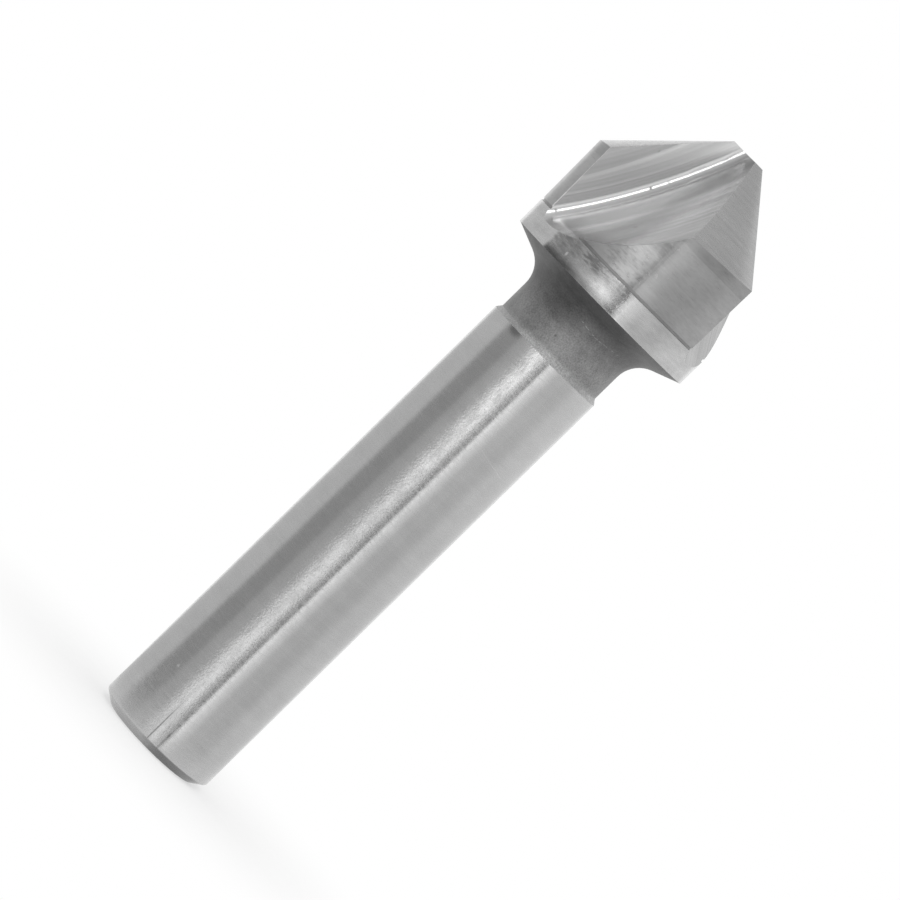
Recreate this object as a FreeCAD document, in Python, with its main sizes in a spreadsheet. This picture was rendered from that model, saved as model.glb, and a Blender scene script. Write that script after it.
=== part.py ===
import FreeCAD, Part
import os

import Sketcher

# A 90 degree countersink bit with three straight flutes on a plain round shank.
# It is one piece of tool steel: turned, fluted with a large grinding wheel, then ground so
# that the cone falls away behind each cutting edge.
# Millimetres. The origin is the centre of the shank's end face and +Z points at the tip.
# The first tooth's flat rake face lies in the XZ plane, with its cutting edge on the +X side
# and its flute on the +Y side. Right-hand cutting.

NODE = "countersink_bit"
TOOTH_COUNT = 3
TOOTH_PITCH = 360 / TOOTH_COUNT

SIZES = {
    # The whole tool
    "overall_length": 60,
    # Shank, held in a chuck
    "shank_diameter": 10,
    "shank_chamfer_depth": 0.9,
    "shank_chamfer_height": 0.65,
    "shank_edge_radius": 0.25,
    # Neck, a little thinner than the shank, with a large round into the collar
    "neck_diameter": 9.4,
    "neck_length": 5.52,
    "neck_step_height": 0.4,
    "neck_round_radius": 2.2,
    # Collar, the plain ring that the flutes run out into
    "collar_diameter": 16.34,
    "collar_length": 2.17,
    "collar_underside_angle": 21.2,
    # Fine groove turned between the collar and the fluted head
    "groove_width": 0.22,
    "groove_depth": 0.1,
    # Fluted head: a short cylinder that thins towards the collar, then the cutting cone
    "cutting_diameter": 16.5,
    "land_length": 5.87,
    "land_back_taper": 0.09,
    "point_angle": 90,
    "tip_diameter": 3.36,
    # Flutes, each ground by the flat side and the slightly conical rim of a wheel
    "web_half_thickness": 0.21,
    "flute_run_out": 0.83,
    "wheel_radius": 50,
    "wheel_rim_angle": 6.4,
    "wheel_corner_radius": 0.7,
    # Clearance behind each cutting edge: the cone there has its axis beside the tool's own
    "relief_offset": 0.4,
}

# Radii and heights that several features share, as formulas of the sizes
SHANK_RADIUS = "sizes.shank_diameter / 2"
NECK_RADIUS = "sizes.neck_diameter / 2"
COLLAR_RADIUS = "sizes.collar_diameter / 2"
CUTTING_RADIUS = "sizes.cutting_diameter / 2"
TIP_RADIUS = "sizes.tip_diameter / 2"
CONE_SLOPE = "tan(sizes.point_angle / 2)"
TIP_HEIGHT = "sizes.overall_length"
CONE_BASE = f"({TIP_HEIGHT} - ({CUTTING_RADIUS} - {TIP_RADIUS}) / {CONE_SLOPE})"
GROOVE_TOP = f"({CONE_BASE} - sizes.land_length)"
GROOVE_BASE = f"({GROOVE_TOP} - sizes.groove_width)"
COLLAR_BASE = f"({GROOVE_BASE} - sizes.collar_length)"
SHANK_TOP = f"({COLLAR_BASE} - sizes.neck_length)"
NECK_TOP = f"({COLLAR_BASE} - ({COLLAR_RADIUS} - {NECK_RADIUS}) * tan(sizes.collar_underside_angle))"
GRINDING_STOCK = "sizes.relief_offset"

# The corner of the wheel cuts a circle in the rake plane, through two points: the web at the
# tip, and the flute's foot, a little way down the collar. Its centre stands off the middle of
# that chord.
FLUTE_LENGTH = f"({TIP_HEIGHT} - {GROOVE_BASE} + sizes.flute_run_out)"
CHORD_RUN = f"({CUTTING_RADIUS} - sizes.web_half_thickness)"
CHORD_LENGTH = f"sqrt({CHORD_RUN} ^ 2 + {FLUTE_LENGTH} ^ 2)"
CHORD_STAND_OFF = f"sqrt(sizes.wheel_radius ^ 2 - {CHORD_LENGTH} ^ 2 / 4)"
WHEEL_CENTRE_OUT = (
    f"sizes.web_half_thickness + {CHORD_RUN} / 2"
    f" + {CHORD_STAND_OFF} * {FLUTE_LENGTH} / {CHORD_LENGTH}"
)
WHEEL_CENTRE_HEIGHT = (
    f"{TIP_HEIGHT} - {FLUTE_LENGTH} / 2 + {CHORD_STAND_OFF} * {CHORD_RUN} / {CHORD_LENGTH}"
)


def make_sheet(doc):
    """Put every driving size in the sheet, one row each, under its own name."""
    sheet = doc.addObject("Spreadsheet::Sheet", "sizes")
    for row, (name, size) in enumerate(SIZES.items(), start=1):
        sheet.set(f"A{row}", name)
        sheet.set(f"B{row}", str(size))
        sheet.setAlias(f"B{row}", name)
    doc.recompute()
    return sheet


def place_sketch(body, name, plane_role, offsets):
    """Start a sketch on one of the body's own planes, moved by formulas for its x, y and z."""
    plane = next(item for item in body.Origin.OriginFeatures if item.Role == plane_role)
    sketch = body.newObject("Sketcher::SketchObject", name)
    sketch.AttachmentSupport = [(plane, "")]
    sketch.MapMode = "FlatFace"
    for direction, formula in offsets.items():
        sketch.setExpression(f"AttachmentOffset.Base.{direction}", formula)
    return sketch


def hold_size(sketch, kind, places, formula, name):
    """Add a named constraint whose value follows a formula of the sizes."""
    index = sketch.addConstraint(Sketcher.Constraint(kind, *places, sketch.evalExpression(formula)))
    sketch.renameConstraint(index, name)
    sketch.setExpression(f"Constraints.{name}", formula)


def hold_corner(sketch, line, name, place):
    """Hold a line's start at a distance across and up, or on the sketch's own axis where that is 0."""
    kinds = (("DistanceX", "across", -2), ("DistanceY", "up", -1))
    for formula, (kind, direction, sketch_axis) in zip(place, kinds):
        if formula == "0":
            sketch.addConstraint(Sketcher.Constraint("PointOnObject", line, 1, sketch_axis))
        else:
            hold_size(sketch, kind, (-1, 1, line, 1), formula, f"{name}_{direction}")


def draw_outline(sketch, corners, rounds):
    """Draw a closed outline through named corners, then round those that have a radius.

    Line n starts at corner n. Each corner is a pair of formulas, across and up.
    """
    points = [
        FreeCAD.Vector(sketch.evalExpression(across), sketch.evalExpression(up), 0)
        for across, up in corners.values()
    ]
    count = len(points)
    for line in range(count):
        sketch.addGeometry(Part.LineSegment(points[line], points[(line + 1) % count]), False)
    for line in range(count):
        sketch.addConstraint(Sketcher.Constraint("Coincident", line, 2, (line + 1) % count, 1))
    for line, (name, place) in enumerate(corners.items()):
        hold_corner(sketch, line, name, place)
    for name, radius in rounds.items():
        round_corner(sketch, list(corners).index(name), name, radius)


def round_corner(sketch, line, name, radius):
    """Round the corner where a line starts, keeping the sharp corner's own place."""
    sides = [sketch.Geometry[side] for side in (line - 1, line)]
    side_middles = [(side.StartPoint + side.EndPoint) / 2 for side in sides]
    arc = sketch.GeometryCount
    sketch.fillet(line - 1, line, *side_middles, sketch.evalExpression(radius), True, True)
    hold_size(sketch, "Radius", (arc,), radius, f"{name}_radius")


def turn_blank(body):
    """The turned blank, with stock left on the cone for its clearance to be ground from."""
    outline = place_sketch(body, "blank_outline", "YZ_Plane", {})
    corners = {
        "end_centre": ("0", "0"),
        "end_rim": (f"{SHANK_RADIUS} - sizes.shank_chamfer_depth", "0"),
        "shank_foot": (SHANK_RADIUS, "sizes.shank_chamfer_height"),
        "shank_top": (SHANK_RADIUS, SHANK_TOP),
        "neck_foot": (NECK_RADIUS, f"{SHANK_TOP} + sizes.neck_step_height"),
        "neck_top": (NECK_RADIUS, NECK_TOP),
        "collar_foot": (COLLAR_RADIUS, COLLAR_BASE),
        "collar_top": (COLLAR_RADIUS, GROOVE_BASE),
        "groove_low": (f"{COLLAR_RADIUS} - sizes.groove_depth", GROOVE_BASE),
        "groove_high": (f"{COLLAR_RADIUS} - sizes.groove_depth", GROOVE_TOP),
        "land_foot": (f"{CUTTING_RADIUS} - sizes.land_back_taper", GROOVE_TOP),
        "land_top": (CUTTING_RADIUS, CONE_BASE),
        "stock_foot": (CUTTING_RADIUS, f"{CONE_BASE} + {GRINDING_STOCK}"),
        "stock_top": (f"{TIP_RADIUS} + {GRINDING_STOCK} * {CONE_SLOPE}", TIP_HEIGHT),
        "tip_centre": ("0", TIP_HEIGHT),
    }
    rounds = {
        "shank_foot": "sizes.shank_edge_radius",
        "neck_top": "sizes.neck_round_radius",
    }
    draw_outline(outline, corners, rounds)
    blank = body.newObject("PartDesign::Revolution", "blank")
    blank.Profile = outline
    blank.ReferenceAxis = (outline, ["V_Axis"])
    blank.Angle = 360
    return blank


def grind_flute(body):
    """One flute: the grinding wheel's own disc, its axis square to the first rake face."""
    outline = place_sketch(
        body, "wheel_outline", "YZ_Plane", {"y": WHEEL_CENTRE_HEIGHT, "z": WHEEL_CENTRE_OUT}
    )
    wheel_width = f"{CUTTING_RADIUS} * 3 / 2"
    corners = {
        "rake_hub": ("0", "0"),
        "far_hub": (wheel_width, "0"),
        "far_rim": (wheel_width, f"sizes.wheel_radius + {wheel_width} * tan(sizes.wheel_rim_angle)"),
        "rake_rim": ("0", "sizes.wheel_radius"),
    }
    draw_outline(outline, corners, {"rake_rim": "sizes.wheel_corner_radius"})
    flute = body.newObject("PartDesign::Groove", "flute")
    flute.Profile = outline
    flute.ReferenceAxis = (outline, ["H_Axis"])
    flute.Angle = 360
    return flute


def grind_relief(body):
    """The clearance behind the first cutting edge, a cone about an axis set beside the tool's own.

    It starts in the tooth's own flute and ends in the flute behind, so it takes in the whole land.
    """
    outline = place_sketch(body, "relief_outline", "XZ_Plane", {"z": "-sizes.relief_offset"})
    inner = f"({TIP_RADIUS} / 2)"
    outer = f"({CUTTING_RADIUS} + 2 * sizes.relief_offset)"
    cone_at_inner = f"{TIP_HEIGHT} + ({TIP_RADIUS} - {inner}) / {CONE_SLOPE}"
    cone_at_outer = f"{TIP_HEIGHT} + ({TIP_RADIUS} - {outer}) / {CONE_SLOPE}"
    corners = {
        "cone_top": (inner, cone_at_inner),
        "cone_foot": (outer, cone_at_outer),
        "outside": (outer, cone_at_inner),
    }
    draw_outline(outline, corners, {})
    relief = body.newObject("PartDesign::Groove", "relief")
    relief.Profile = outline
    relief.ReferenceAxis = (outline, ["V_Axis"])
    relief.Type = "TwoAngles"
    relief.Angle = TOOTH_PITCH / 4
    relief.Angle2 = TOOTH_PITCH * 3 / 4
    return relief


def repeat_teeth(body, features):
    """Repeat the first tooth's flute and clearance evenly about the tool's axis."""
    axis = next(item for item in body.Origin.OriginFeatures if item.Role == "Z_Axis")
    teeth = body.newObject("PartDesign::PolarPattern", "teeth")
    teeth.Originals = features
    teeth.Axis = (axis, [""])
    teeth.Angle = 360
    teeth.Occurrences = TOOTH_COUNT
    body.Tip = teeth
    return teeth


def cut_is_real(doc, feature, before):
    """Recompute, and report how much a feature took away."""
    doc.recompute()
    removed = before - feature.Shape.Volume
    print(f"{feature.Name} takes away {removed:.2f} cubic mm")
    if removed <= 0:
        raise RuntimeError(f"{feature.Name} cuts nothing")
    return feature.Shape.Volume


def make_bit(doc):
    body = doc.addObject("PartDesign::Body", NODE)
    body.Label = NODE
    body.Placement = FreeCAD.Placement()
    blank = turn_blank(body)
    doc.recompute()
    flute = grind_flute(body)
    volume = cut_is_real(doc, flute, blank.Shape.Volume)
    relief = grind_relief(body)
    volume = cut_is_real(doc, relief, volume)
    teeth = repeat_teeth(body, [flute, relief])
    cut_is_real(doc, teeth, volume)
    return body


def check_document(doc, pieces):
    """Stop if any object failed or any piece isn't one valid solid."""
    for item in doc.Objects:
        if "Invalid" in item.State or "Error" in item.State:
            raise RuntimeError(f"{item.Name} is in state {item.State}")
    for piece in pieces:
        shape = piece.Shape
        if shape.isNull() or not shape.isValid() or len(shape.Solids) != 1:
            raise RuntimeError(f"{piece.Label} isn't one valid solid")


def main():
    doc = FreeCAD.newDocument("countersink")
    make_sheet(doc)
    pieces = [make_bit(doc)]
    doc.recompute()
    check_document(doc, pieces)
    os.makedirs("parts", exist_ok=True)
    for piece in pieces:
        piece.Shape.exportStep(os.path.join("parts", f"{piece.Label}.step"))
        print(f"{piece.Label}: {piece.Shape.Volume:.1f} cubic mm, {len(piece.Shape.Faces)} faces")


main()
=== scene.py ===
import math

import bmesh
import bpy
from mathutils import Matrix, Vector

# A countersink bit standing on its shank, seen almost square on with the camera rolled, as the
# photograph shows it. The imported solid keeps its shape. This script gives each of its ground and
# turned surfaces a finish, and adds the floor, the studio and the camera.
# Positions in the materials are in millimetres, everything else is in metres.

MM = 0.001
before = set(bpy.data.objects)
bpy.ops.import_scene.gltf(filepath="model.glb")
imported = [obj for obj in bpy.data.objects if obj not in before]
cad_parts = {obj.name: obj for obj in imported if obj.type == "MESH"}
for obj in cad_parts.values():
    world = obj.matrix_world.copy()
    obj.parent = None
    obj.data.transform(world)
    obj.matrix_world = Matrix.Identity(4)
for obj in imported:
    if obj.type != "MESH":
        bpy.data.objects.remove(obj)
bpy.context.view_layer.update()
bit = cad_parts["countersink_bit"]

# The teeth are spaced evenly round the tool
TOOTH_COUNT = 3
TOOTH_PITCH = math.tau / TOOTH_COUNT

# Sizes of the solid, in mm
SHANK_RADIUS = 5.0
SHANK_CHAMFER = 0.65
SHANK_TOP = 39.65
STEP_TOP = 40.05
NECK_RADIUS = 4.7
COLLAR_BASE = 45.17
COLLAR_RADIUS = 8.17
GROOVE_BASE = 47.34
GROOVE_TOP = 47.56
LAND_RADIUS = 8.2
CONE_BASE = 53.43
TIP_HEIGHT = 60.0
RELIEF_OFFSET = 0.4
WHEEL_RADIUS = 50.0
WHEEL_CENTRE = (46.65, 0.0, 78.54)

# How far the middle of a flute's root lies inside the wheel's rim, and off the rake face
ROOT_DEPTH = 0.28
ROOT_OFFSET = 0.14

# The small round that the sharp edges are lit with, in mm
EDGE_BREAK = 0.08

# How far before the x axis the first tooth's flute and its part of the cone may start
FLUTE_TURN = 0.3
CONE_TURN = math.radians(110)

# The camera stands to one side of the first rake face and looks at the middle of the picture
CAMERA_AZIMUTH = math.radians(62.3)
CAMERA_DISTANCE = 395 * MM
CAMERA_HEIGHT = 53.0 * MM
CAMERA_ROLL = math.radians(45.6)
CAMERA_LENS = 221.05
PICTURE_MIDDLE = (0.058 * MM, 30.08 * MM)

# Where the values of a noise texture mostly lie
NOISE_LOW = 0.3
NOISE_HIGH = 0.7

# How far steel spreads a reflection across its grooves, where 1 is the most
FINE_GRIND = 0.85
COARSE_GRIND = 0.8


class Finish:
    """A material's node tree, with one short call for each kind of node.

    A number goes straight on a socket and a socket is linked.
    """

    def __init__(self, name):
        self.material = bpy.data.materials.new(name)
        self.material.use_nodes = True
        self.tree = self.material.node_tree
        self.tree.nodes.clear()
        where = self.add("ShaderNodeTexCoord", {})["Object"]
        self.place = self.scaled(where, 1 / MM)
        self.normal = self.add("ShaderNodeNewGeometry", {})["Normal"]

    def add(self, kind, inputs, **settings):
        node = self.tree.nodes.new(kind)
        for key, value in settings.items():
            setattr(node, key, value)
        for key, value in inputs.items():
            self.feed(node.inputs[key], value)
        return node.outputs

    def feed(self, socket, value):
        if isinstance(value, bpy.types.NodeSocket):
            self.tree.links.new(value, socket)
        else:
            socket.default_value = value

    def math(self, operation, first, second=0.0):
        return self.add("ShaderNodeMath", {0: first, 1: second}, operation=operation)[0]

    def vector(self, operation, *vectors):
        inputs = dict(enumerate(vectors))
        return self.add("ShaderNodeVectorMath", inputs, operation=operation)["Vector"]

    def scaled(self, vector, factor):
        inputs = {0: vector, "Scale": factor}
        return self.add("ShaderNodeVectorMath", inputs, operation="SCALE")["Vector"]

    def length(self, vector):
        return self.add("ShaderNodeVectorMath", {0: vector}, operation="LENGTH")["Value"]

    def dot(self, first, second):
        inputs = {0: first, 1: second}
        return self.add("ShaderNodeVectorMath", inputs, operation="DOT_PRODUCT")["Value"]

    def rotate(self, vector, angle):
        """Turn a vector about the tool's axis."""
        inputs = {"Vector": vector, "Angle": angle}
        return self.add("ShaderNodeVectorRotate", inputs, rotation_type="Z_AXIS")[0]

    def parts(self, vector):
        return self.add("ShaderNodeSeparateXYZ", {0: vector})

    def join(self, x, y, z):
        return self.add("ShaderNodeCombineXYZ", {0: x, 1: y, 2: z})[0]

    def grey(self, tone):
        return self.add("ShaderNodeCombineColor", {0: tone, 1: tone, 2: tone})[0]

    def height_up(self):
        """How high a point is above the floor, in mm."""
        return self.parts(self.place)[2]

    def around(self, along, across):
        """The place, scaled one way round the tool and another way up it."""
        return self.vector("MULTIPLY", self.place, (along, along, across))

    def noise(self, vector, detail=2.0, roughness=0.5):
        inputs = {"Vector": vector, "Scale": 1.0, "Detail": detail, "Roughness": roughness}
        return self.add("ShaderNodeTexNoise", inputs)["Fac"]

    def between(self, value, low, high, to_low=0.0, to_high=1.0, smooth=True):
        """Map a value from one range to another, and hold it there outside."""
        names = ("Value", "From Min", "From Max", "To Min", "To Max")
        inputs = dict(zip(names, (value, low, high, to_low, to_high)))
        steps = "SMOOTHSTEP" if smooth else "LINEAR"
        return self.add("ShaderNodeMapRange", inputs, interpolation_type=steps)[0]

    def swing(self, noise, amount, middle=0.0):
        """Let a noise carry a value that far to each side of its middle."""
        low, high = middle - amount, middle + amount
        return self.between(noise, NOISE_LOW, NOISE_HIGH, low, high, smooth=False)

    def blend(self, mask, bare, marked):
        """Go evenly from one value where a mask is 0 to another where it is 1."""
        return self.between(mask, 0, 1, bare, marked, smooth=False)

    def mix(self, share, first, second):
        return self.add("ShaderNodeMix", {0: share, 2: first, 3: second})[0]

    def product(self, first, *others):
        for other in others:
            first = self.math("MULTIPLY", first, other)
        return first

    def total(self, first, *others):
        for other in others:
            first = self.math("ADD", first, other)
        return first

    def band(self, value, low, high, blur):
        """1 between two values, falling to 0 outside them over the blur."""
        rise = self.between(value, low - blur, low + blur)
        fall = self.between(value, high - blur, high + blur, 1.0, 0.0)
        return self.product(rise, fall)

    def spot(self, middle, half_round, half_up, ragged=0.0):
        """1 at a place on the surface, in mm, fading to 0 at that far round the tool and up it."""
        offset = self.vector("SUBTRACT", self.place, middle)
        scale = (1 / half_round, 1 / half_round, 1 / half_up)
        away = self.length(self.vector("MULTIPLY", offset, scale))
        if ragged:
            drawn = self.noise(self.around(1.5, 5.0), detail=3.0, roughness=0.6)
            away = self.total(away, self.swing(drawn, ragged))
        return self.between(away, 0.3, 1.0, 1.0, 0.0)

    def worn(self, tone, marks):
        """The tone with marks on it, each a mask and what it multiplies the tone by."""
        for mask, change in marks:
            tone = self.product(tone, self.blend(mask, 1.0, change))
        return tone

    def metal(self, tone, roughness, height, grooves, anisotropic, edge_wear_and_highlight=0.09):
        """Steel whose grooves spread the light across them, its sharp edges broken, with worn
        steel and a painted highlight along them.
        """
        facing = self.normal
        if edge_wear_and_highlight:
            # Worn edges and painted highlight: the tone is raised along sharp edges.
            facing = self.add("ShaderNodeBevel", {"Radius": EDGE_BREAK * MM}, samples=6)[0]
            turned = self.dot(facing, self.normal)
            tone = self.total(tone, self.between(turned, 0.93, 0.995, edge_wear_and_highlight, 0.0))
        bump = self.add(
            "ShaderNodeBump",
            {"Height": height, "Strength": 1.0, "Distance": MM, "Normal": facing},
        )["Normal"]
        inputs = {
            "Base Color": self.grey(tone),
            "Metallic": 1.0,
            "Roughness": roughness,
            "Anisotropic": anisotropic,
            "Tangent": self.vector("CROSS_PRODUCT", self.normal, grooves),
            "Normal": bump,
        }
        surface = self.add("ShaderNodeBsdfPrincipled", inputs)[0]
        self.add("ShaderNodeOutputMaterial", {"Surface": surface})
        return self.material


def from_camera(turn, rise, distance):
    """A point that far from the tool, turned from the camera's side and raised, in degrees."""
    azimuth = CAMERA_AZIMUTH + math.radians(turn)
    level = math.cos(math.radians(rise))
    return distance * Vector(
        (math.cos(azimuth) * level, math.sin(azimuth) * level, math.sin(math.radians(rise)))
    )


def on_surface(radius, turn, height):
    """A place on a round surface, in mm, turned that many degrees from the camera's side."""
    side = from_camera(turn, 0, radius)
    return (side.x, side.y, height)


def ring_grooves(finish):
    """The direction round the tool, in which turning and round grinding leave their grooves."""
    return finish.vector("CROSS_PRODUCT", (0, 0, 1), finish.place)


def sideways(finish):
    """How far a point is to the right of the middle of the tool's used side, in mm."""
    right = Vector((0, 0, 1)).cross(from_camera(0, 0, 1.0))
    return finish.dot(finish.place, right)


def strip(finish, low, high, low_blur, high_blur):
    """1 on a strip along the tool's used side, between two distances across it."""
    across = sideways(finish)
    rise = finish.between(across, low - low_blur, low + low_blur)
    fall = finish.between(across, high - high_blur, high + high_blur, 1.0, 0.0)
    on_side = finish.between(finish.dot(finish.place, from_camera(0, 0, 1.0)), 0.5, 1.5)
    return finish.product(rise, fall, on_side)


def scratch(finish, low, high, height, slope, half_width):
    """1 on a fine ragged line across the used side, that high up where it crosses the middle."""
    shake = finish.noise(finish.scaled(finish.place, 2.5))
    line = finish.total(
        finish.height_up(),
        finish.product(sideways(finish), -slope),
        finish.swing(shake, 0.03, middle=-height),
    )
    return finish.product(
        finish.band(line, -half_width, half_width, half_width),
        strip(finish, low, high, 0.15, 0.15),
    )


def ground_round(finish, scuff, tone, roughness, streaks, waves=0.0, sand=0.0, lines=0.02):
    """A surface ground in the round: fine rings, sandy grain, and waves drawn out round it.

    The scuff is where grain and waves are strongest. Streaks and lines change the tone, waves
    and sand are heights in mm. The result is the tone, roughness and height, for a surface's
    own marks to be added to.
    """
    long_lines = finish.noise(finish.around(0.25, 5.0), roughness=0.6)
    rings = finish.noise(finish.around(1.6, 14.0), detail=3.0, roughness=0.6)
    grain = finish.noise(finish.scaled(finish.place, 6.5), roughness=0.7)
    broad = finish.noise(finish.around(0.35, 0.8))
    drawn = finish.noise(finish.around(1.5, 5.0), detail=3.0, roughness=0.6)
    uneven = finish.blend(scuff, 0.3, 1.0)
    shade = finish.total(
        tone,
        finish.swing(rings, 0.015),
        finish.swing(long_lines, lines),
        finish.swing(broad, 0.4 * streaks),
        finish.product(finish.swing(drawn, streaks), uneven),
    )
    rough = finish.total(roughness, finish.swing(drawn, 0.06), finish.swing(grain, 0.03))
    height = finish.total(
        finish.product(rings, 0.0012),
        finish.product(grain, sand, finish.blend(scuff, 0.08, 1.0)),
        finish.product(drawn, waves, uneven),
    )
    return shade, rough, height


def shank_finish():
    """The shank: a sandy column, painted highlight and shade, and two fine lines by its foot."""
    finish = Finish("shank_ground")
    scuff = strip(finish, -1.5, 0.25, 0.5, 0.3)
    shade, rough, height = ground_round(
        finish, scuff, tone=0.53, roughness=0.26, streaks=0.04, waves=0.006, sand=0.026, lines=0.01
    )
    z = finish.height_up()
    # Painted shade: a dark patch at the shank's top edge, where the steel mirrors darkness.
    painted_edge_shade = finish.spot(on_surface(SHANK_RADIUS, -33.5, SHANK_TOP), 0.9, 0.7)
    dot = finish.spot(on_surface(SHANK_RADIUS, -30.2, 5.78), 0.16, 0.2)
    # Painted highlight: mottled patches in the bright column, and its stretch near the top, are
    # made lighter in colour.
    patches = finish.noise(finish.around(1.6, 0.5), detail=3.0, roughness=0.6)
    patches = finish.between(patches, 0.4, 0.6)
    painted_highlight_patches = finish.product(strip(finish, -0.9, 0.0, 0.5, 0.2), patches)
    painted_upper_highlight = finish.product(strip(finish, -1.6, 5.5, 0.8, 0.5), finish.between(z, 22, 36))
    line = finish.spot(on_surface(SHANK_RADIUS, -4.5, 1.5), 0.075, 3.5)
    # A painted reflection: the dark line mirrored beside the bright column, carried down to the
    # foot.
    painted_reflection_line = finish.spot(on_surface(SHANK_RADIUS, 6.9, 0.8), 0.13, 2.6)
    dent = finish.spot(on_surface(SHANK_RADIUS, 6.9, 1.85), 0.11, 0.25)
    hair = scratch(finish, 1.6, 4.0, 32.36, slope=-0.24, half_width=0.025)
    # Painted shade: the chamfer is darker in colour, most on its right, for the dark floor that it
    # mirrors.
    chamfer = finish.between(z, SHANK_CHAMFER - 0.07, SHANK_CHAMFER + 0.05, 1.0, 0.0)
    chamfer_painted_shade = finish.product(chamfer, strip(finish, -0.2, 4.4, 1.5, 0.5))
    marks = [
        (painted_edge_shade, 0.55),
        (dot, 1.45),
        (painted_highlight_patches, 1.15),
        (painted_upper_highlight, 1.11),
        (finish.product(painted_upper_highlight, painted_highlight_patches), 1.12),
        (line, 0.5),
        (painted_reflection_line, 0.72),
        (dent, 0.75),
        (hair, 1.15),
        (chamfer, 0.86),
        (chamfer_painted_shade, 0.48),
    ]
    shade = finish.worn(shade, marks)
    return finish.metal(shade, rough, height, ring_grooves(finish), FINE_GRIND)


def collar_finish():
    """The collar, scuffed on one side, with painted shade low down there and a painted highlight
    beside that.
    """
    finish = Finish("collar_ground")
    scuff = strip(finish, -5.6, 1.4, 0.15, 0.2)
    shade, rough, height = ground_round(
        finish, scuff, tone=0.58, roughness=0.25, streaks=0.14, waves=0.02, sand=0.004
    )
    low = finish.between(finish.height_up(), COLLAR_BASE, COLLAR_BASE + 0.75, 1.0, 0.0)
    # Painted shade: the collar is darker low down on its used side, where its foot mirrors
    # darkness.
    painted_edge_shade = finish.product(strip(finish, -5.6, -2.6, 0.15, 0.7), low)
    foot = finish.product(scuff, low)
    # Painted shade and a painted highlight: a dark patch and a light one in the collar's mirrored
    # bands.
    painted_shade = finish.spot(on_surface(COLLAR_RADIUS, -16, COLLAR_BASE + 1.75), 1.1, 0.6, ragged=0.4)
    bright = finish.spot(on_surface(COLLAR_RADIUS, -6, COLLAR_BASE + 0.8), 2.4, 0.7, ragged=0.45)
    dot = finish.spot(on_surface(COLLAR_RADIUS, -29.9, 45.98), 0.14, 0.22)
    marks = [
        (scuff, 0.80),
        (foot, 0.72),
        (painted_edge_shade, 0.45),
        (painted_shade, 0.62),
        (bright, 1.45),
        (dot, 1.9),
    ]
    shade = finish.worn(shade, marks)
    return finish.metal(shade, rough, height, ring_grooves(finish), FINE_GRIND)


def land_finish():
    """The cylindrical land, with a darker ground band next to the cone."""
    finish = Finish("land_ground")
    scuff = strip(finish, -3.6, 1.0, 0.15, 0.15)
    shade, rough, height = ground_round(
        finish, scuff, tone=0.40, roughness=0.33, streaks=0.10, waves=0.02, sand=0.005
    )
    margin = finish.between(finish.height_up(), CONE_BASE - 1.06, CONE_BASE - 0.96)
    # A painted highlight and a painted reflection: a light patch, and the mirrored dark line on
    # the used side.
    bright = finish.spot(on_surface(LAND_RADIUS, -9, 48.8), 3.4, 3.6, ragged=0.8)
    painted_dark_line = strip(finish, 0.75, 1.15, 0.25, 0.08)
    marks = [(margin, 0.86), (finish.product(bright, scuff), 1.15), (painted_dark_line, 0.8)]
    shade = finish.worn(shade, marks)
    return finish.metal(shade, rough, height, ring_grooves(finish), COARSE_GRIND)


def groove_finish():
    finish = Finish("groove_turned")
    shade, rough, height = ground_round(
        finish, scuff=0.5, tone=0.34, roughness=0.45, streaks=0.08, waves=0.004, sand=0.002
    )
    return finish.metal(shade, rough, height, ring_grooves(finish), 0.6, edge_wear_and_highlight=0.0)


def point_grind(finish):
    """The clean even grind that the cone and the flat tip share."""
    shade, rough, height = ground_round(
        finish, scuff=0.5, tone=0.50, roughness=0.28, streaks=0.02, lines=0.03
    )
    return finish.metal(shade, rough, height, ring_grooves(finish), FINE_GRIND, edge_wear_and_highlight=0.0)


def tip_finish():
    return point_grind(Finish("tip_ground"))


def to_first_tooth(finish, first_turn):
    """Where a point would be on the first tooth, which tooth it is on, and how far round it is.

    The teeth are counted from that turn before the x axis.
    """
    x, y, _ = finish.parts(finish.place)
    turn = finish.total(finish.math("ARCTAN2", y, x), first_turn)
    tooth = finish.math("FLOOR", finish.math("DIVIDE", turn, TOOTH_PITCH))
    angle = finish.product(tooth, TOOTH_PITCH)
    return finish.rotate(finish.place, finish.product(angle, -1.0)), tooth, angle


def cone_finish():
    """The clearance on the cone, lit by the true cone's direction and not its long triangles'."""
    finish = Finish("cone_ground")
    place, _, angle = to_first_tooth(finish, CONE_TURN)
    x, y, _ = finish.parts(place)
    outward = finish.vector("NORMALIZE", finish.join(x, finish.total(y, -RELIEF_OFFSET), 0.0))
    upward = finish.vector("NORMALIZE", finish.vector("ADD", outward, (0, 0, 1)))
    finish.normal = finish.rotate(upward, angle)
    return point_grind(finish)


def on_root(height):
    """A place on the root of the first flute, in mm."""
    reach = WHEEL_RADIUS - ROOT_DEPTH
    drop = WHEEL_CENTRE[2] - height
    return (WHEEL_CENTRE[0] - math.sqrt(reach**2 - drop**2), ROOT_OFFSET, height)


# Dents in the first flute's root: how high, and what they leave of the steel's brightness
NICKS = [(54.62, 0.6), (53.42, 0.2), (47.55, 0.35)]
NICK_SIZE = 0.17
# Small pits in that flute: where, how large, and what they leave of the steel's brightness
PITS = [
    ((5.31, 0.0, 55.66), 0.1, 0.75),
    ((4.51, 4.27, 50.73), 0.15, 0.45),
    ((1.67, 5.46, 55.32), 0.08, 0.75),
]


def slanted(finish, distance, slope, height):
    """A distance that grows by the slope for each mm above a height."""
    return finish.total(distance, finish.product(finish.height_up(), slope), -slope * height)


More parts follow.
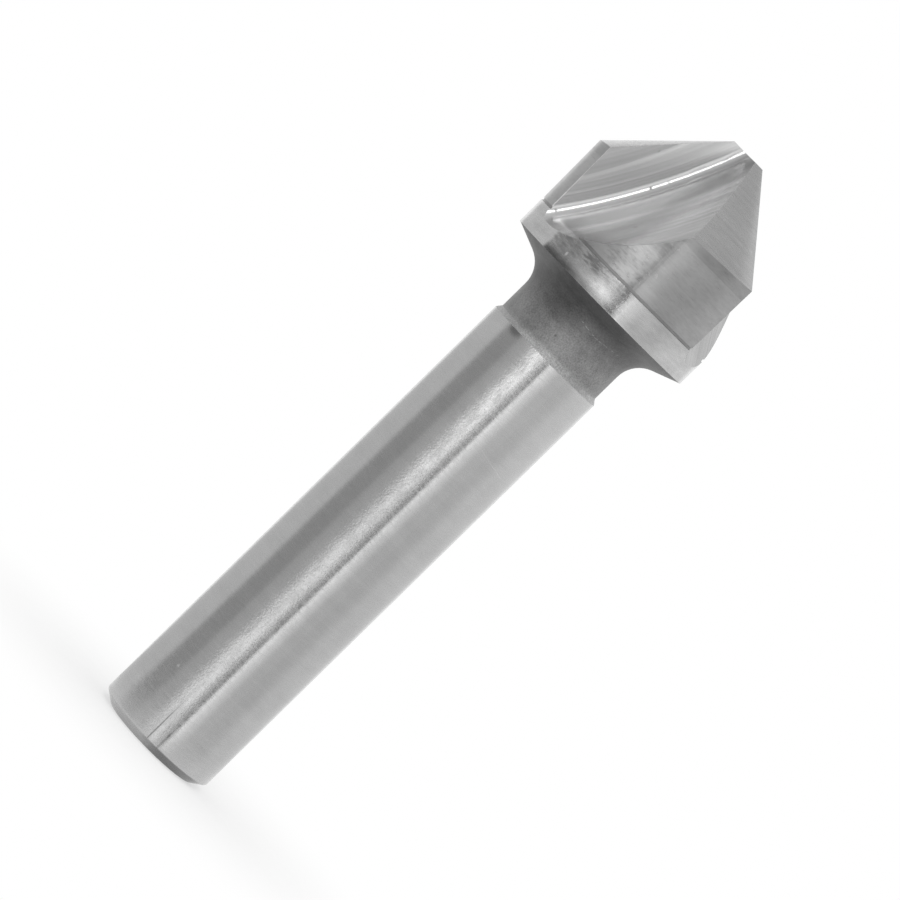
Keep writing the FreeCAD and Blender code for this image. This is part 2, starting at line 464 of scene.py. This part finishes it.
def below_groove(finish):
    """1 under the fine groove, where the flutes run out into the collar."""
    return finish.between(finish.height_up(), GROOVE_BASE - 0.15, GROOVE_BASE + 0.1, 1.0, 0.0)


def rake_marks(finish, reach, across):
    """Marks on the flat rake faces: a darker wedge, a light line beside it, and a painted
    reflection by the root.
    """
    on_rake = finish.between(across, 0.02, 0.05, 1.0, 0.0)
    wedge_reach = slanted(finish, reach, slope=0.05, height=53)
    wedge = finish.between(wedge_reach, 47.35, 47.5, 1.0, 0.0)
    beside = finish.band(wedge_reach, 47.52, 47.75, 0.1)
    # Painted reflection: the rake face is made lighter in colour towards the root.
    painted_root_light = finish.between(reach, 47.8, 49.3)
    changes = [(painted_root_light, 1.4), (wedge, 0.80), (beside, 1.12)]
    return [(finish.product(mask, on_rake), change) for mask, change in changes]


def flute_painted_shade(finish, across, tooth):
    """Painted shade in the first flute, which weakens towards the tip and below the groove."""
    z = finish.height_up()
    painted_shade_extent = finish.product(
        finish.math("COMPARE", tooth, 0.0),
        finish.blend(below_groove(finish), 1.0, 0.4),
        finish.between(z, 57.5, 59.3, 1.0, 0.55),
    )
    # Painted shade: the dark bands that the flute's back mirrors beside the root.
    painted_shade_band = finish.band(slanted(finish, across, slope=0.3, height=54), 2.2, 3.3, 0.7)
    painted_shade_band = finish.product(painted_shade_band, finish.between(z, 48.5, 54.0, 0.4, 1.0))
    painted_shade = finish.between(slanted(finish, across, slope=0.4, height=50), 5.2, 6.8, 1.0, 0.0)
    painted_shade = finish.product(painted_shade, finish.between(across, 0.5, 1.3))
    painted_inner_shade = finish.band(across, 0.9, 2.6, 0.5)
    changes = [(painted_shade, 0.54), (painted_shade_band, 0.66), (painted_inner_shade, 0.66)]
    return [(finish.product(mask, painted_shade_extent), change) for mask, change in changes]


def flute_marks(finish):
    """The flute's darker foot, a painted reflection that brightens it below the groove, and the
    dents and pits.
    """
    foot = finish.spot((6.9, 1.9, 48.0), 1.2, 1.3)
    dents = [(finish.spot(on_root(up), NICK_SIZE, NICK_SIZE), dark) for up, dark in NICKS]
    pits = [(finish.spot(place, size, 1.5 * size), dark) for place, size, dark in PITS]
    # Painted reflection: the colour is raised below the groove.
    return [(foot, 0.85), (below_groove(finish), 1.05)] + dents + pits


def flute_finish(name, roughness, anisotropic, edge_wear_and_highlight):
    """The flutes, with marks that follow the grinding wheel's edge."""
    finish = Finish(name)
    place, tooth, angle = to_first_tooth(finish, FLUTE_TURN)
    spoke = finish.vector("SUBTRACT", place, WHEEL_CENTRE)
    out, across, up = finish.parts(spoke)
    reach = finish.length(finish.join(out, 0.0, up))
    travel = finish.product(finish.math("ARCTAN2", up, out), WHEEL_RADIUS)

    def arcs(fineness, detail):
        """Noise drawn out along the wheel's path, another on each tooth."""
        on_path = finish.join(
            finish.product(reach, fineness),
            finish.product(travel, 0.02),
            finish.total(finish.product(across, fineness), tooth),
        )
        return finish.noise(on_path, detail, roughness=0.6)

    hair = arcs(4.5, detail=1.5)
    streak = arcs(1.5, detail=1.0)
    shade = finish.total(
        finish.between(across, 0.05, 0.9, 0.71, 0.51),
        finish.swing(hair, 0.045),
        finish.swing(streak, 0.05),
    )
    marks = rake_marks(finish, reach, across) + flute_painted_shade(finish, across, tooth)
    shade = finish.worn(shade, marks + flute_marks(finish))
    rough = finish.product(roughness, finish.swing(hair, 0.14, middle=1.0))
    height = finish.total(finish.product(hair, 0.0001), finish.product(streak, 0.0003))
    grooves = finish.rotate(finish.vector("CROSS_PRODUCT", (0, 1, 0), spoke), angle)
    return finish.metal(shade, rough, height, grooves, anisotropic, edge_wear_and_highlight)


def neck_finish():
    """The neck, turned and left matt, with a painted reflection on its step and painted shade up
    under the collar.
    """
    finish = Finish("neck_turned")
    grain = finish.noise(finish.scaled(finish.place, 9.0), detail=3.0, roughness=0.7)
    blotch = finish.noise(finish.scaled(finish.place, 1.2), detail=3.0, roughness=0.6)
    z = finish.height_up()
    # Painted shade: darker towards the collar, which shades the neck.
    painted_shade_under_collar = finish.between(z, 41.0, 44.4, 1.0, 0.42)
    shade = finish.total(0.34, finish.swing(grain, 0.11), finish.swing(blotch, 0.04))
    # Painted reflection: the step is given a lighter colour, most in the middle of the used side.
    painted_middle_light = finish.blend(strip(finish, -2.8, 2.2, 1.2, 1.6), 0.5, 1.0)
    bare = finish.between(z, STEP_TOP - 0.2, STEP_TOP + 0.4, 1.0, 0.0)
    step = finish.between(z, STEP_TOP - 0.06, STEP_TOP + 0.04, 1.0, 0.0)
    lighter = finish.product(bare, painted_middle_light, finish.between(grain, 0.35, 0.65, 0.12, 0.3))
    shade = finish.total(
        finish.product(shade, painted_shade_under_collar), lighter, finish.product(step, painted_middle_light, 0.28)
    )
    dotted = finish.between(finish.noise(finish.around(6.0, 1.0)), 0.45, 0.6)
    falling = scratch(finish, 0.0, 1.65, 43.42, slope=-0.12, half_width=0.03)
    rising = scratch(finish, 1.65, 3.7, 42.98, slope=0.144, half_width=0.03)
    chatter = finish.product(finish.total(falling, rising), dotted)
    dot = finish.spot((2.61, 3.90, 41.35), 0.12, 0.12)
    # A painted shadow under the collar.
    painted_shadow = finish.spot(on_surface(NECK_RADIUS, -17, 43.1), 2.4, 1.5, ragged=0.2)
    shade = finish.worn(shade, [(chatter, 1.8), (dot, 0.65), (painted_shadow, 0.74)])
    rough = finish.total(0.55, finish.swing(grain, 0.08))
    height = finish.product(grain, 0.02)
    return finish.metal(shade, rough, height, ring_grooves(finish), 0.3, edge_wear_and_highlight=0.0)


def head_side_finish_of(height):
    """Which finish the round sides of the head have at a height in mm."""
    if height < GROOVE_BASE:
        return "collar"
    if height <= GROOVE_TOP:
        return "groove"
    return "land"


def flute_part_of(centre, normal):
    """Which finish a flute's face has: the flat rake's, the small round root's or the rest's."""
    tooth = math.floor((math.atan2(centre.y, centre.x) + FLUTE_TURN) / TOOTH_PITCH)
    turn = tooth * TOOTH_PITCH
    flatness = normal.dot(Vector((-math.sin(turn), math.cos(turn), 0)))
    if flatness > 0.99:
        return "rake"
    if flatness > 0.15:
        return "root"
    return "flute"


def finish_of(centre, normal):
    """Which finish a face of the solid has, from its middle in mm and its direction."""
    outward = normal.dot(Vector((centre.x, centre.y, 0)).normalized())
    if centre.z < SHANK_TOP:
        return "shank"
    if centre.z < COLLAR_BASE:
        return "neck"
    if centre.z > TIP_HEIGHT - 0.01:
        return "tip"
    if centre.z > CONE_BASE - 0.5 and normal.z > 0.68 and outward > 0.6:
        return "cone"
    if outward > 0.995:
        return head_side_finish_of(centre.z)
    if abs(normal.z) > 0.99:
        return "groove"
    return flute_part_of(centre, normal)


def dress_bit():
    finishes = {
        "shank": shank_finish(),
        "neck": neck_finish(),
        "collar": collar_finish(),
        "groove": groove_finish(),
        "land": land_finish(),
        "cone": cone_finish(),
        "tip": tip_finish(),
        "rake": flute_finish("rake_wheel_ground", 0.21, COARSE_GRIND, edge_wear_and_highlight=0.03),
        "root": flute_finish("root_wheel_ground", 0.22, 0.7, edge_wear_and_highlight=0.0),
        "flute": flute_finish("flute_wheel_ground", 0.2, COARSE_GRIND, edge_wear_and_highlight=0.14),
    }
    mesh = bit.data
    mesh.materials.clear()
    names = list(finishes)
    for material in finishes.values():
        mesh.materials.append(material)
    for face in mesh.polygons:
        face.material_index = names.index(finish_of(face.center / MM, face.normal))


def add_object(name, data):
    made = bpy.data.objects.new(name, data)
    bpy.context.scene.collection.objects.link(made)
    return made


def background_rays(tree):
    """1 on the rays that see the background: the camera's, and those off or through an object."""
    path = tree.nodes.new("ShaderNodeLightPath")
    seen = path.outputs["Is Camera Ray"]
    for ray in ("Is Glossy Ray", "Is Transmission Ray"):
        either = tree.nodes.new("ShaderNodeMath")
        either.operation = "MAXIMUM"
        tree.links.new(seen, either.inputs[0])
        tree.links.new(path.outputs[ray], either.inputs[1])
        seen = either.outputs[0]
    return seen


# How strongly the white world lights things, where it looks white at 1
WORLD_LIGHT = 0.92


def white_background():
    """White for the camera and for reflections, and a little softer as light."""
    world = bpy.data.worlds.new("studio")
    world.use_nodes = True
    tree = world.node_tree
    tree.nodes.clear()
    level = tree.nodes.new("ShaderNodeMapRange")
    level.inputs["To Min"].default_value = WORLD_LIGHT
    level.inputs["To Max"].default_value = 1.0
    tree.links.new(background_rays(tree), level.inputs["Value"])
    light = tree.nodes.new("ShaderNodeBackground")
    light.inputs["Color"].default_value = (1, 1, 1, 1)
    tree.links.new(level.outputs[0], light.inputs["Strength"])
    output = tree.nodes.new("ShaderNodeOutputWorld")
    tree.links.new(light.outputs[0], output.inputs["Surface"])
    bpy.context.scene.world = world


FLOOR_RADIUS = 2.0
# How much of the background shows in the floor by the tool, and how far out, in mm, that starts
# to grow and the floor is all background
FLOOR_GLOW = 0.55
FLOOR_FADE = (5.0, 30.0)


def pale_floor():
    """A pale floor that keeps the tool's shadow and fades into the background further out."""
    mesh = bpy.data.meshes.new("floor")
    shape = bmesh.new()
    bmesh.ops.create_circle(shape, cap_ends=True, segments=64, radius=FLOOR_RADIUS)
    shape.to_mesh(mesh)
    floor = add_object("floor", mesh)
    finish = Finish("pale_floor")
    x, y, _ = finish.parts(finish.place)
    reach = finish.length(finish.join(x, y, 0.0))
    faded = finish.between(reach, *FLOOR_FADE, FLOOR_GLOW, 1.0)
    faded = finish.product(faded, background_rays(finish.tree))
    grain = finish.noise(finish.scaled(finish.place, 0.4))
    colour = finish.grey(finish.swing(grain, 0.01, middle=0.94))
    matt = finish.add("ShaderNodeBsdfDiffuse", {"Color": colour})[0]
    glow = finish.add("ShaderNodeEmission", {"Color": (1, 1, 1, 1), "Strength": 1.0})[0]
    surface = finish.add("ShaderNodeMixShader", {0: faded, 1: matt, 2: glow})[0]
    finish.add("ShaderNodeOutputMaterial", {"Surface": surface})
    mesh.materials.append(finish.material)


# Grey cards round the tool that its polished sides mirror, open at the back to the white
# background. Each line is a turn in degrees from the camera's side, and how light the cards are
# there, low down and high up.
CARDS = [
    (-154, 0.69, 0.69),
    (-92, 0.74, 0.74),
    # The broad dark band down the left of the shank
    (-80, 0.42, 0.42),
    (-54, 0.42, 0.42),
    (-46, 0.56, 0.56),
    (-26, 0.64, 0.50),
    # The bright column down its middle
    (-8, 1.25, 0.42),
    (-5, 1.25, 0.42),
    (8, 0.92, 0.42),
    # The narrow dark line beside the column
    (13, 0.15, 0.42),
    (15.2, 0.15, 0.42),
    # The bright strip that fades into the plain right-hand side
    (16.7, 1.68, 0.60),
    (20, 1.42, 0.61),
    (27, 1.05, 0.62),
    (40, 0.72, 0.66),
    (66, 0.68, 0.66),
    (94, 0.83, 0.80),
    (154, 0.86, 0.84),
]
CARD_DISTANCE = 0.6
CARD_HEIGHT = 0.75
CARD_FOOT = 0.013
CARD_LIFT = 0.0002
CARD_OPENING = 0.02
CARD_COLUMNS = 120

# Heights in mm between which the cards change from their low tones to their high ones, and how
# far below their top they start to change to the tone that they have overhead
CARD_CHANGE = (75, 190)
OVERHEAD_CHANGE = 250
OVERHEAD_TONE = 0.62


def card_mesh():
    """A bowl of cards from close by the shank's foot out along the floor, up and over the top."""
    steps = [
        (CARD_FOOT, CARD_LIFT),
        (CARD_DISTANCE, CARD_LIFT),
        (CARD_DISTANCE, CARD_HEIGHT),
        (CARD_OPENING, CARD_HEIGHT),
    ]
    mesh = bpy.data.meshes.new("cards")
    shape = bmesh.new()
    first, last = CARDS[0][0], CARDS[-1][0]
    rows = []
    for column in range(CARD_COLUMNS + 1):
        side = from_camera(first + (last - first) * column / CARD_COLUMNS, 0, 1.0)
        rows.append([shape.verts.new((side.x * out, side.y * out, up)) for out, up in steps])
    for left, right in zip(rows, rows[1:]):
        for n in range(len(steps) - 1):
            shape.faces.new((left[n], right[n], right[n + 1], left[n + 1]))
    shape.to_mesh(mesh)
    return mesh


def card_tone(finish, turn, turns, tones):
    """How light the cards are at a turn, going smoothly from each one's tone to the next one's."""
    level = tones[0]
    for low, high, before, after in zip(turns, turns[1:], tones, tones[1:]):
        if before != after:
            level = finish.total(level, finish.between(turn, low, high, 0.0, after - before))
    return level


def grey_cards():
    """The cards, which only reflections see."""
    cards = add_object("cards", card_mesh())
    finish = Finish("grey_cards")
    x, y, z = finish.parts(finish.rotate(finish.place, -CAMERA_AZIMUTH))
    turn = finish.product(finish.math("ARCTAN2", y, x), math.degrees(1))
    turns, low_tones, high_tones = zip(*CARDS)
    low = card_tone(finish, turn, turns, low_tones)
    high = card_tone(finish, turn, turns, high_tones)
    card_top = CARD_HEIGHT / MM
    overhead = finish.between(z, card_top - OVERHEAD_CHANGE, card_top - 1)
    level = finish.mix(finish.between(z, *CARD_CHANGE), low, high)
    level = finish.mix(overhead, level, OVERHEAD_TONE)
    glow = finish.add("ShaderNodeEmission", {"Color": (1, 1, 1, 1), "Strength": level})[0]
    finish.add("ShaderNodeOutputMaterial", {"Surface": glow})
    cards.data.materials.append(finish.material)
    cards.visible_camera = False
    cards.visible_diffuse = False
    cards.visible_shadow = False


# The lamp faces this height on the tool's axis
HEAD_HEIGHT = 45 * MM


def soft_lamp(name, turn, rise, distance, width, height, brightness):
    """A soft box. Brightness is that of its surface, where white paper is 1."""
    data = bpy.data.lights.new(name, "AREA")
    data.shape = "RECTANGLE"
    data.size = width
    data.size_y = height
    data.energy = brightness * math.pi * width * height
    lamp = add_object(name, data)
    lamp.location = from_camera(turn, rise, distance) + Vector((0, 0, HEAD_HEIGHT))
    lamp.rotation_mode = "QUATERNION"
    lamp.rotation_quaternion = from_camera(turn, rise, 1.0).to_track_quat("Z", "Y")
    lamp.visible_camera = False


def place_camera():
    data = bpy.data.cameras.new("camera")
    data.lens = CAMERA_LENS
    data.sensor_width = 36
    data.clip_start = 0.01
    data.clip_end = 10
    camera = add_object("camera", data)
    side = from_camera(0, 0, 1.0)
    right = Vector((0, 0, 1)).cross(side)
    place = side * CAMERA_DISTANCE + Vector((0, 0, CAMERA_HEIGHT))
    target = right * PICTURE_MIDDLE[0] + Vector((0, 0, PICTURE_MIDDLE[1]))
    back = (place - target).normalized()
    level_right = Vector((0, 0, 1)).cross(back).normalized()
    level_up = back.cross(level_right)
    # The tool's axis climbs to the right in the picture, so the camera leans the other way
    across = level_right * math.cos(CAMERA_ROLL) + level_up * math.sin(CAMERA_ROLL)
    upward = back.cross(across)
    camera.matrix_world = Matrix.LocRotScale(
        place, Matrix((across, upward, back)).transposed(), None
    )
    bpy.context.scene.camera = camera


dress_bit()
white_background()
pale_floor()
grey_cards()
soft_lamp("key_light", turn=-1, rise=35, distance=0.55, width=0.10, height=0.20, brightness=4.6)
place_camera()
bpy.context.scene.view_settings.view_transform = "Standard"
